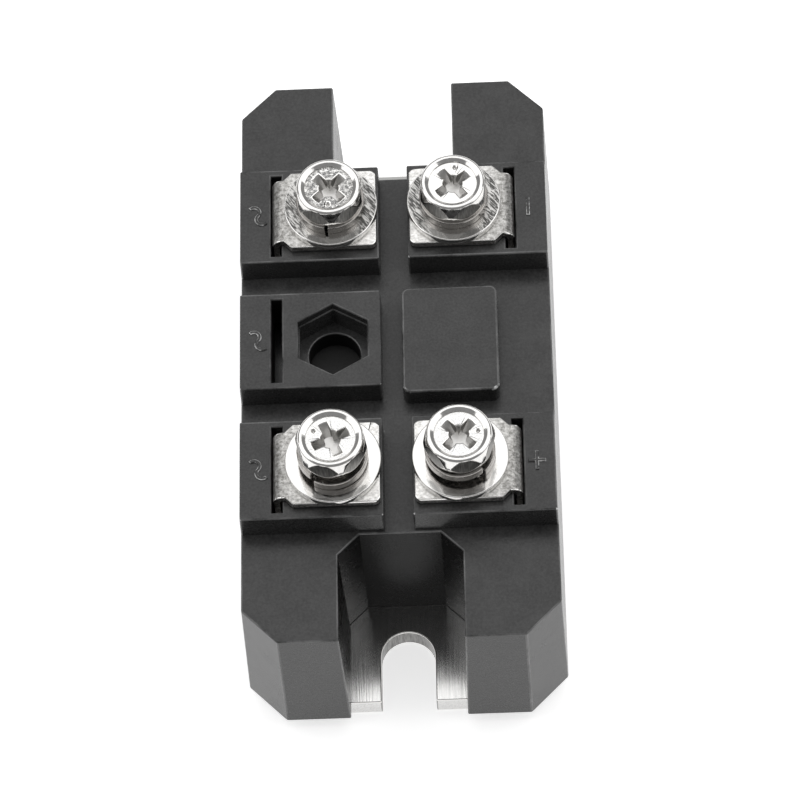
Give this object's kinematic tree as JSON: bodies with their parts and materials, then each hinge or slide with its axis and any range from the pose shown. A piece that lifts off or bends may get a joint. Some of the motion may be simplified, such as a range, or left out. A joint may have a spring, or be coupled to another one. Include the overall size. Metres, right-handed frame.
{
  "type": "bridge rectifier module",
  "caption": "Single-phase bridge rectifier module: metal base plate, black moulded housing with terminal blocks, screw terminals and potted diode circuit.",
  "frame": {"origin": "centre of the base plate's underside, the mounting face", "axes": "+Z away from the heat sink through the housing, +Y along the module from the open mounting slot to the closed mounting hole, +X towards the plus and minus terminals"},
  "size_m": [0.04, 0.0804, 0.0355],
  "materials": {
    "plate_nickel": "nickel-plated copper, brushed along its length",
    "housing_black": "glass-filled moulding, satin dark grey",
    "busbar_nickel": "nickel-plated copper sheet, satin",
    "fastener_nickel": "nickel-plated steel, bright",
    "ceramic_white": "bare alumina",
    "copper": "bare copper",
    "silicon": "polished chip with metallised faces",
    "gel_clear": "soft clear silicone gel",
    "epoxy_black": "cast potting resin"
  },
  "bodies": {
    "root": {"base_plate": "plate_nickel", "housing": "housing_black", "ceramic_substrate": "ceramic_white", "ac_pad_front": "copper", "ac_pad_rear": "copper", "positive_pad": "copper", "negative_pad": "copper", "diode_chip_1": "silicon", "diode_chip_2": "silicon", "diode_chip_3": "silicon", "diode_chip_4": "silicon", "jumper_front": "copper", "jumper_rear": "copper", "negative_bridge": "copper", "terminal_ac_front": "busbar_nickel", "terminal_ac_rear": "busbar_nickel", "terminal_positive": "busbar_nickel", "terminal_negative": "busbar_nickel", "terminal_nuts": "fastener_nickel", "flat_washers": "fastener_nickel", "spring_washers": "fastener_nickel", "terminal_screws": "fastener_nickel", "silicone_gel": "gel_clear", "potting_epoxy": "epoxy_black"}
  },
  "joints": []
}
